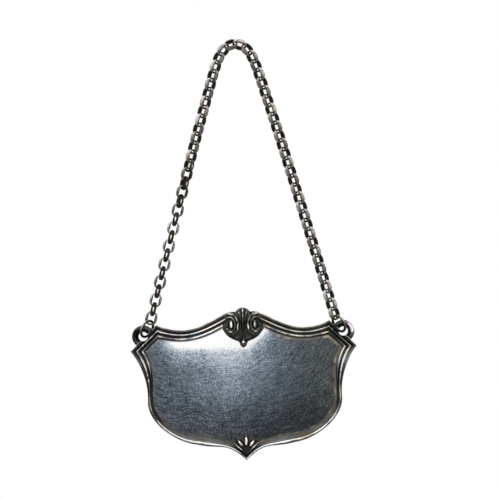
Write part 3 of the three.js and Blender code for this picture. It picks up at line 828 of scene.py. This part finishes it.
def turn_outwards(made):
    """The volume is a sixth of the sum of each triangle's triple product."""
    mesh = made.data
    mesh.calc_loop_triangles()
    corner = np.empty(len(mesh.vertices) * 3)
    mesh.vertices.foreach_get("co", corner)
    triangle = np.empty(len(mesh.loop_triangles) * 3, dtype=int)
    mesh.loop_triangles.foreach_get("vertices", triangle)
    a, b, c = corner.reshape(-1, 3)[triangle.reshape(-1, 3)].transpose(1, 0, 2)
    volume = float(np.einsum("ij,ij->i", a, np.cross(b, c)).sum() / 6)
    if volume < 0:
        mesh.flip_normals()
    return volume


turned = [made.name for made in fine_pieces if turn_outwards(made) < 0]
print("pieces turned to face outwards:", *turned)

# %% [markdown]
# ## Which way a point faces
#
# The light falls from above, so the finishes paint what faces up brighter and what faces
# down darker: painted light and shade. Each point keeps how squarely it faces up, from its
# normal, and the finishes use that.

# %% Keep which way each point faces the light
LIGHT_FROM = np.array([-0.12, -0.1, 0.98], dtype=np.float32)

for made in fine_pieces:
    normals = np.empty(len(made.data.vertices) * 3, dtype=np.float32)
    made.data.vertex_normals.foreach_get("vector", normals)
    # Painted light: how squarely each point faces the light above, which the finishes turn into
    # brightness.
    keep_value(made.data, "faces_the_light", normals.reshape(-1, 3) @ LIGHT_FROM)
print("wiped side kept on", len(fine_pieces), "pieces")

# %% [markdown]
# ## Sums of patterns
#
# A finish is a little sum of patterns, so it is written like one here. A pattern is an
# output of a node, and a sign between a pattern and what follows it, a pattern or a number,
# makes the Math node that works it out. The other helpers make one node each. A group has
# named inputs and outputs, so that finishes which need the same effect can share it.

# %% Patterns


class Pattern:
    """An output of a node, which can stand on the left of +, -, * and /."""

    def __init__(self, socket):
        self.socket, self.tree = socket, socket.id_data

    def __add__(self, other):
        return calc("ADD", self, other)

    def __sub__(self, other):
        return calc("SUBTRACT", self, other)

    def __mul__(self, other):
        return calc("MULTIPLY", self, other)

    def __truediv__(self, other):
        return calc("DIVIDE", self, other)

    def feeds(self, socket):
        """A link from this output to an input."""
        self.tree.links.new(self.socket, socket)


def tree_of(values):
    """The tree that the first pattern among some values stands in."""
    return next(value.tree for value in values if isinstance(value, Pattern))


def fill(made, inputs):
    """A node's inputs, each either linked to a pattern or set to a constant."""
    for key, value in (inputs or {}).items():
        if isinstance(value, Pattern):
            value.feeds(made.inputs[key])
        else:
            made.inputs[key].default_value = value
    return made


def pattern(tree, kind, output, inputs=None, **settings):
    """One output of a new node, which gets its settings and its inputs."""
    made = tree.nodes.new("ShaderNode" + kind)
    for key, value in settings.items():
        setattr(made, key, value)
    return Pattern(fill(made, inputs).outputs[output])


# %% Helpers for patterns


def calc(operation, *values, clamp=False):
    """A Math node on patterns or numbers."""
    return pattern(tree_of(values), "Math", 0, dict(enumerate(values)),
                   operation=operation, use_clamp=clamp)


def fade(value, start, end, low=0.0, high=1.0):
    """A smooth step: low at the start, high at the end."""
    inputs = {"Value": value, "From Min": start, "From Max": end, "To Min": low, "To Max": high}
    return pattern(value.tree, "MapRange", "Result", inputs, interpolation_type="SMOOTHSTEP")


def blend(factor, a, b, mode="MIX"):
    """A colour mix: a where the factor is 0, b where it is 1."""
    return pattern(tree_of((factor, a, b)), "Mix", 2, {0: factor, 6: a, 7: b},
                   data_type="RGBA", blend_type=mode)


def ramp(factor, stops):
    """A colour ramp through stops, from a place to a colour each."""
    made = pattern(factor.tree, "ValToRGB", "Color", {"Fac": factor})
    line = made.socket.node.color_ramp
    while len(line.elements) < len(stops):
        line.elements.new(0.5)
    for element, (place, colour) in zip(line.elements, stops.items()):
        element.position, element.color = place, (*colour, 1)
    return made


def noise(vector, scale, detail=2.0, rough=0.5):
    """Soft random patches between 0 and 1, so many to the millimetre."""
    inputs = {"Vector": vector, "Scale": scale, "Detail": detail, "Roughness": rough}
    return pattern(vector.tree, "TexNoise", "Fac", inputs)


def combined(x, y, z):
    """Three values as one vector, or as one colour."""
    return pattern(tree_of((x, y, z)), "CombineXYZ", "Vector", {"X": x, "Y": y, "Z": z})


def separated(vector):
    """A vector's three values."""
    made = pattern(vector.tree, "SeparateXYZ", "X", {"Vector": vector})
    return [Pattern(output) for output in made.socket.node.outputs]


def attribute(tree, name):
    """A per-point value that the mesh carries."""
    return pattern(tree, "Attribute", "Fac", attribute_name=name)


def of_type(tree, kind):
    """The tree's own node of that type."""
    return next(node for node in tree.nodes if node.type == kind)


# %% Helpers for groups and metal


def group(name, inputs, outputs):
    """An empty node group with named sockets: value F, colour C or vector V."""
    kinds = {"F": "NodeSocketFloat", "C": "NodeSocketColor", "V": "NodeSocketVector"}
    tree = bpy.data.node_groups.new(name, "ShaderNodeTree")
    for way, sockets in (("INPUT", inputs), ("OUTPUT", outputs)):
        for key, kind in sockets.items():
            tree.interface.new_socket(key, in_out=way, socket_type=kinds[kind])
    given = {output.name: Pattern(output) for output in tree.nodes.new("NodeGroupInput").outputs}
    print("shared group", name, "gives", *outputs)
    return tree, given, tree.nodes.new("NodeGroupOutput").inputs


def use(tree, name, inputs=None):
    """The outputs of a shared group, placed in another tree."""
    made = tree.nodes.new("ShaderNodeGroup")
    made.node_tree = bpy.data.node_groups[name]
    return {output.name: Pattern(output) for output in fill(made, inputs).outputs}


def silver(tree, colour, roughness, height, bump):
    """The material's only shader: bare metal with a colour, a roughness and a fine height."""
    shader = of_type(tree, "BSDF_PRINCIPLED")
    inputs = {"Height": height, "Strength": bump, "Distance": 0.0001}
    normal = pattern(tree, "Bump", "Normal", inputs)
    fill(shader, {"Metallic": 1.0, "Base Color": colour, "Roughness": roughness,
                  "Normal": normal})


# %% [markdown]
# ## Where on the label
#
# Every pattern is measured in millimetres from the middle of the label, in the piece's own
# coordinates, so that it stays on the metal when the label swings.

# %% Shared group: place
tree, given, result = group("place_on_label", {}, {"Place": "V", "X": "F", "Z": "F"})
inputs = {"Vector": pattern(tree, "TexCoord", "Object"), "Location": (0, 0, LABEL_DROP),
          "Scale": (1 / MM, 1 / MM, 1 / MM)}
place = pattern(tree, "Mapping", "Vector", inputs)
x, _, z = separated(place)
place.feeds(result["Place"])
x.feeds(result["X"])
z.feeds(result["Z"])

# %% [markdown]
# ## Wiping strokes
#
# Years of wiping with a cloth leave short strokes that follow the sweep of the hand: arcs
# about a point above the label. In polar coordinates about that point an arc is a straight
# line, so noise that is stretched along the turn makes strokes, at two sizes. A fine even
# speckle lies over them, and a third and finest set of strokes only shows as height.

# %% Shared group: strokes
SWEEP_X, SWEEP_Z = -7.0, 24.0

tree, given, result = group("wiping_strokes", {"Place": "V"}, {"Strokes": "F", "Height": "F"})
x, depth, z = separated(given["Place"])
dx, dz = x - SWEEP_X, z - SWEEP_Z + noise(given["Place"], 0.09, 1.0) * 4.5
turn = calc("ARCTAN2", dx, dz) * 30.0
reach = calc("SQRT", dx * dx + dz * dz)


def stroke_layer(along, across, detail):
    """Noise that changes slowly along the arc and fast across it."""
    return noise(combined(turn * along, reach * across, depth), 1.0, detail, 0.6)


wide, narrow = stroke_layer(0.6, 1.8, 2.0), stroke_layer(0.7, 4.8, 3.0)
speckle = noise(given["Place"], 5.4, 3.0, 0.8)
mixed = wide * 0.12 + narrow * 0.2 + speckle * 0.68
fade(mixed, 0.32, 0.68).feeds(result["Strokes"])
(stroke_layer(0.6, 11.0, 1.0) * 0.5 + mixed * 0.7).feeds(result["Height"])

# %% [markdown]
# ## Tarnish colours
#
# Thin tarnish on silver shows interference colours: straw, then violet, then blue, as the
# film thickens. They are faint here, and change from place to place over a few millimetres.

# %% Shared group: film
tree, given, result = group("tarnish_film", {"Place": "V", "Strength": "F"}, {"Tint": "C"})
hues = ramp(noise(given["Place"], 0.32, 3.0, 0.6), {
    0.34: (0.78, 0.9, 1.0), 0.43: (0.97, 0.99, 1.0), 0.52: (1.0, 1.0, 0.97),
    0.58: (1.0, 0.87, 0.62), 0.64: (0.91, 0.76, 1.0)})
blend(given["Strength"], (1, 1, 1, 1), hues).feeds(result["Tint"])

# %% [markdown]
# ## Tarnish that stays in the hollows
#
# Relief is bright on its tops, from rubbing and from painted highlights, and stays black in
# its grooves. A proud value from the mesh says which is which, and noise frays the line
# between them. Between black and bright lies a band of grey-olive metal. Rubbed metal is
# smooth and tarnish is dull.

# %% Shared group: hollows
tree, given, result = group(
    "hollow_tarnish", {"Place": "V", "Proud": "F", "Start": "F", "End": "F", "Film": "F",
                       "Bright": "C", "Middle": "C", "Dark": "C"},
    {"Color": "C", "Roughness": "F"})
proud = given["Proud"] + (noise(given["Place"], 1.7, 4.0, 0.65) - 0.5) * 0.42
spread = given["End"] - given["Start"]
level = calc("DIVIDE", proud - given["Start"], spread, clamp=True)
colour = blend(fade(level, 0.0, 0.5), given["Dark"], given["Middle"])
colour = blend(fade(level, 0.5, 1.0), colour, given["Bright"])
tint = use(tree, "tarnish_film", {"Place": given["Place"], "Strength": given["Film"]})["Tint"]
blend(1.0, colour, tint, "MULTIPLY").feeds(result["Color"])
fade(level, 0.0, 1.0, 0.5, 0.2).feeds(result["Roughness"])

# %% [markdown]
# ## The field
#
# The plate's face is blue-grey. A painted highlight makes a cloud of brighter metal in the
# middle, and the face darkens towards the sides and most towards the lower right, as painted
# shade. Under the left and middle of the top border a painted highlight makes it bright, down
# to a soft slanting line. A thin brown line of tarnish and a warm light line run along its
# rim. The back, which rests on a bottle, is duller, rubbed in its middle and dark towards its
# edge.

# %% Field: how bright it is
field = material("field_silver").node_tree
where = use(field, "place_on_label")
place, x, z = where["Place"], where["X"], where["Z"]
strokes = use(field, "wiping_strokes", {"Place": place})
grain = strokes["Strokes"] - 0.5


def cloud(middle, radii, strength):
    """A soft oval patch: a bell curve of the oval distance."""
    u, v = (x - middle[0]) / radii[0], (z - middle[1]) / radii[1]
    return calc("EXPONENT", (u * u + v * v) * -1.0) * strength


# The clouds are painted light: a highlight in the middle that fades to painted shade at the sides
# and lower right. The noise and the grain are the metal's own tone.
shade = cloud((-5, -2), (11, 5.5), 0.24) + cloud((-2.5, -10), (10, 7), 0.2)
shade = shade + cloud((-6, -4), (27, 17), 0.22) + cloud((12, -19), (22, 9), -0.16)
shade = shade + 0.08 + (noise(place, 0.16, 3.0) - 0.5) * 0.26 + grain * 0.2
# A painted highlight under the top border: a soft glow and a bright band above a slanting line.
slant = calc("MAXIMUM", x - 1.5, 0.0) * -0.72
above = z + slant + grain * 0.7
ends = fade(x, 9.5, 6.0) * fade(x, -23, -16)
glow = fade(above, -6.0, 1.6) * ends * 0.3
band = fade(above, -1.5, 2.4) * ends * 0.55
shade = calc("ADD", shade + glow, band, clamp=True)
fleck = fade(noise(place, 1.9, 2.0, 0.6), 0.675, 0.735)
shade = calc("ADD", shade, fleck * 0.38, clamp=True)

# %% Field: its colours
metals = {
    "cool": [(0.03, 0.037, 0.043), (0.083, 0.104, 0.122), (0.185, 0.225, 0.27),
             (0.46, 0.51, 0.58), (0.93, 0.93, 0.95)],
    "olive": [(0.034, 0.036, 0.031), (0.098, 0.102, 0.092), (0.22, 0.225, 0.21),
              (0.5, 0.5, 0.49), (0.93, 0.93, 0.93)],
    "plum": [(0.036, 0.034, 0.037), (0.1, 0.094, 0.102), (0.22, 0.2, 0.215),
             (0.5, 0.47, 0.49), (0.93, 0.93, 0.95)],
}
cool, olive, plum = (ramp(shade, dict(zip((0.0, 0.25, 0.5, 0.75, 1.0), colours)))
                     for colours in metals.values())
aside = x + noise(place, 0.12, 3.0) * 22.0
lower = z - noise(place, 0.14, 3.0) * 16.0
front = blend(fade(aside, 16, 38, 0.0, 0.75), cool, olive)
front = blend(fade(lower, -18, -30, 0.0, 0.35), front, plum)
even = fade(shade, 0.55, 0.9)
lively = even * -2.2 + 2.4 + cloud((-9, -18), (15, 8), 1.7)
spread = calc("MAXIMUM", grain * lively + 1.0, 0.25)
front = blend(1.0, front, combined(spread, spread, spread), "MULTIPLY")

# %% Field: its rim and its back
rim = attribute(field, "rim")
brown = fade(rim, 0.7, 0.15) * fade(x, -14, 8, 0.2, 0.65)
front = blend(brown, front, (0.2, 0.16, 0.115, 1))
light = fade(rim, 0.25, 0.4) * fade(rim, 0.85, 0.5) * fade(noise(place, 0.4, 3.0), 0.47, 0.62)
light = light * fade(x, -4, 12, 0.15, 0.8) * fade(z, -14, 0, 0.5, 1.0)
front = blend(light, front, (0.46, 0.4, 0.28, 1))
worn = noise(place, 0.11, 4.0) * 0.9 + cloud((2, -7), (19, 12), 0.4)
back = ramp(worn + strokes["Strokes"] * 0.35,
            {0.35: (0.1, 0.104, 0.1), 0.7: (0.19, 0.195, 0.192), 1.0: (0.34, 0.345, 0.345)})
film = use(field, "tarnish_film", {"Place": place, "Strength": 0.4})["Tint"]
back = blend(1.0, back, film, "MULTIPLY")
colour = blend(attribute(field, "face"), back, front)
silver(field, colour, fade(strokes["Strokes"], 0, 1, 0.42, 0.3), strokes["Height"], 0.12)

# %% [markdown]
# ## The border, the relief and the ears
#
# All three are the same rubbed relief, worn in patches, with small painted glints on their
# tops and painted light that makes what faces up brighter. The rubbed metal takes a straw
# tint here and there, more towards the right. The border is the brightest and its grooves
# aren't quite black, while the crest and leaf keep most of their tarnish, and the ears are
# bright on the outer bead.

# %% Relief silver
STRAW = (0.86, 0.76, 0.56, 1)
BLACK = (0.012, 0.012, 0.011, 1)


def relief_silver(name, start, end, film, warmth, bright, middle, dark=BLACK):
    """Hollow tarnish on a mesh's relief value, with fine strokes for its height."""
    tree = material(name).node_tree
    where = use(tree, "place_on_label")
    place = where["Place"]
    straw = fade(noise(place, 0.14, 2.0), 0.42, 0.58)
    straw = straw * fade(where["X"], -8, 10, warmth / 4, warmth)
    relief = attribute(tree, "relief")
    patches = fade(noise(place, 0.24, 3.0), 0.36, 0.6, 0.62, 1.12)
    # Painted glints along the tops of the relief.
    glint = fade(relief, 0.7, 1.0) * fade(noise(place, 0.6, 2.0), 0.52, 0.6)
    proud = relief * patches + glint * 0.5
    # Painted light and shade: brighter where the metal faces up, darker where it faces down. The
    # border is also made darker on its shoulders, sides and tip.
    proud = proud + attribute(tree, "faces_the_light") * 0.3 - attribute(tree, "border_darkening") * 0.5
    finish = use(tree, "hollow_tarnish", {
        "Place": place, "Proud": proud, "Start": start, "End": end, "Film": film,
        "Bright": blend(straw, bright, STRAW), "Middle": middle, "Dark": dark})
    height = use(tree, "wiping_strokes", {"Place": place})["Height"]
    silver(tree, finish["Color"], finish["Roughness"], height, 0.1)


relief_silver("border_silver", -0.05, 1.1, 0.85, 0.8, (0.95, 0.93, 0.97, 1),
              (0.15, 0.158, 0.148, 1), (0.03, 0.032, 0.03, 1))
relief_silver("chased_silver", 0.1, 1.25, 0.6, 0.3, (0.95, 0.93, 0.95, 1),
              (0.085, 0.088, 0.08, 1))
relief_silver("ear_silver", 0.1, 1.2, 0.5, 0.3, (0.85, 0.82, 0.9, 1), (0.08, 0.082, 0.075, 1))

# %% [markdown]
# ## The chain's finish
#
# Nobody polishes a chain: it is grey-olive, nearly black inside its links and where they rub
# together, and lighter on the outer edge of every link. Each link differs a little. Near the
# label's left ear the links that lie edge-on are darkest, with one painted glint on each, and
# those that lie open get a painted highlight on their front. The jump rings are darker and
# more golden.

# %% Chain silver


def chain_silver(name, start, end, bright, middle, dark):
    """Tarnish by how far out on the wire a point lies, shifted by each link's own wear."""
    tree = material(name).node_tree
    place = use(tree, "place_on_label")["Place"]
    outer = attribute(tree, "outer") * 0.5 + 0.5
    # A painted glint at the middle of each dull link's outer side.
    glint_spot = fade(attribute(tree, "flank"), 0.93, 1.0) * fade(outer, 0.94, 1.0)
    dull = attribute(tree, "dull") * (glint_spot * -1.15 + 0.72)
    solder = fade(attribute(tree, "joint"), 0.1, 0.02)
    # Painted light: what faces up is made brighter.
    proud = outer + attribute(tree, "wear") * 0.2 - 0.1 + attribute(tree, "faces_the_light") * 0.3
    finish = use(tree, "hollow_tarnish", {
        "Place": place, "Proud": proud - dull - solder * 0.35, "Start": start, "End": end,
        "Film": 1.0, "Bright": bright, "Middle": middle, "Dark": dark})
    silver(tree, finish["Color"], finish["Roughness"], noise(place, 6.0, 3.0), 0.12)


chain_silver("link_silver", 0.3, 1.35, (0.88, 0.85, 0.84, 1), (0.115, 0.11, 0.093, 1),
             (0.028, 0.026, 0.022, 1))
chain_silver("ring_silver", 0.4, 1.4, (0.75, 0.66, 0.46, 1), (0.055, 0.052, 0.04, 1),
             (0.012, 0.011, 0.009, 1))
print("materials", sorted(m.name for m in bpy.data.materials if m.users))

# %% [markdown]
# ## Floor, light and background
#
# The label hangs over a pale round table that fades to white at its rim, in a white room. A
# large soft lamp stands high on the left, and a smaller one low on the right. The room is
# white to the camera and in every reflection from behind the label, and a little darker in
# front and below, as a room is round a camera.

# %% Floor
FLOOR_Z, FLOOR_RADIUS = -150.0, 450.0
FLOOR_RINGS, FLOOR_SPOKES = 24, 96
WHITE = (1, 1, 1, 1)


def make_floor():
    """A flat disc as rings and spokes about the label's foot."""
    turn = full_turn(FLOOR_SPOKES)
    reach = np.linspace(0.02, 1, FLOOR_RINGS)[:, None] * FLOOR_RADIUS
    x, y = reach * np.cos(turn), reach * np.sin(turn)
    points = np.stack([x, y, np.full_like(x, FLOOR_Z)], -1)
    quads = np.array(grid_faces(FLOOR_RINGS, FLOOR_SPOKES, close_columns=True))
    faces = quads[:, ::-1].tolist() + [list(range(FLOOR_SPOKES))]
    made = mesh_object("floor", points, faces, "floor_white")
    return made


floor = make_floor()
tree = material("floor_white").node_tree
shader = of_type(tree, "BSDF_PRINCIPLED")
place = pattern(tree, "TexCoord", "Object")
mottle = ramp(noise(place, 40.0, 3.0), {0.3: (0.86, 0.86, 0.86), 0.7: (0.9, 0.9, 0.9)})
fill(shader, {"Base Color": mottle, "Roughness": 0.7, "Specular IOR Level": 0.2})
far = pattern(tree, "VectorMath", "Value", {0: place}, operation="LENGTH")
seen = calc("MAXIMUM", pattern(tree, "LightPath", "Is Camera Ray"),
            pattern(tree, "LightPath", "Is Glossy Ray"))
glow = pattern(tree, "Emission", "Emission", {"Color": WHITE, "Strength": 1.0})
faded = pattern(tree, "MixShader", "Shader", {
    0: fade(far, 0.24, 0.44) * seen, 1: Pattern(shader.outputs[0]), 2: glow})
faded.feeds(of_type(tree, "OUTPUT_MATERIAL").inputs["Surface"])
print("floor at", FLOOR_Z, "mm")

# %% Room
world = bpy.data.worlds.new("white room")
world.use_nodes = True
scene.world = world
tree = world.node_tree
_, forward, up = separated(pattern(tree, "TexCoord", "Generated"))
level = fade(forward, -0.6, 0.3, 0.92, 1.0) * fade(up, -0.4, 0.4, 0.7, 1.0)
seen = pattern(tree, "LightPath", "Is Camera Ray")
background = {"Color": blend(seen, combined(level, level, level), WHITE), "Strength": 1.0}
fill(of_type(tree, "BACKGROUND"), background)
print("world", world.name)

# %% Lamps
LAMPS_AIM = np.array([0.0, 0.0, -70.0])


def softbox(name, location, size, power, colour=(1, 1, 1)):
    """An area lamp that looks at the label, hidden from the camera."""
    data = bpy.data.lights.new(name, "AREA")
    data.shape, data.size, data.size_y = "RECTANGLE", size[0] * MM, size[1] * MM
    data.energy, data.color = power, colour
    lamp = bpy.data.objects.new(name, data)
    way = LAMPS_AIM - location
    lamp.location = [v * MM for v in location]
    tilt = math.atan2(way[2], math.hypot(way[0], way[1]))
    lamp.rotation_euler = (math.pi / 2 + tilt, 0, math.atan2(-way[0], way[1]))
    lamp.visible_camera = False
    scene.collection.objects.link(lamp)
    return lamp


key = softbox("key softbox", (-260, -860, 230), (560, 260), 1.2)
fill_in = softbox("low softbox", (420, -520, -60), (120, 360), 0.35, (1.0, 0.95, 0.88))
print("lamps", [lamp.name for lamp in (key, fill_in)])

# %% Finish
scene.view_settings.view_transform = "Standard"
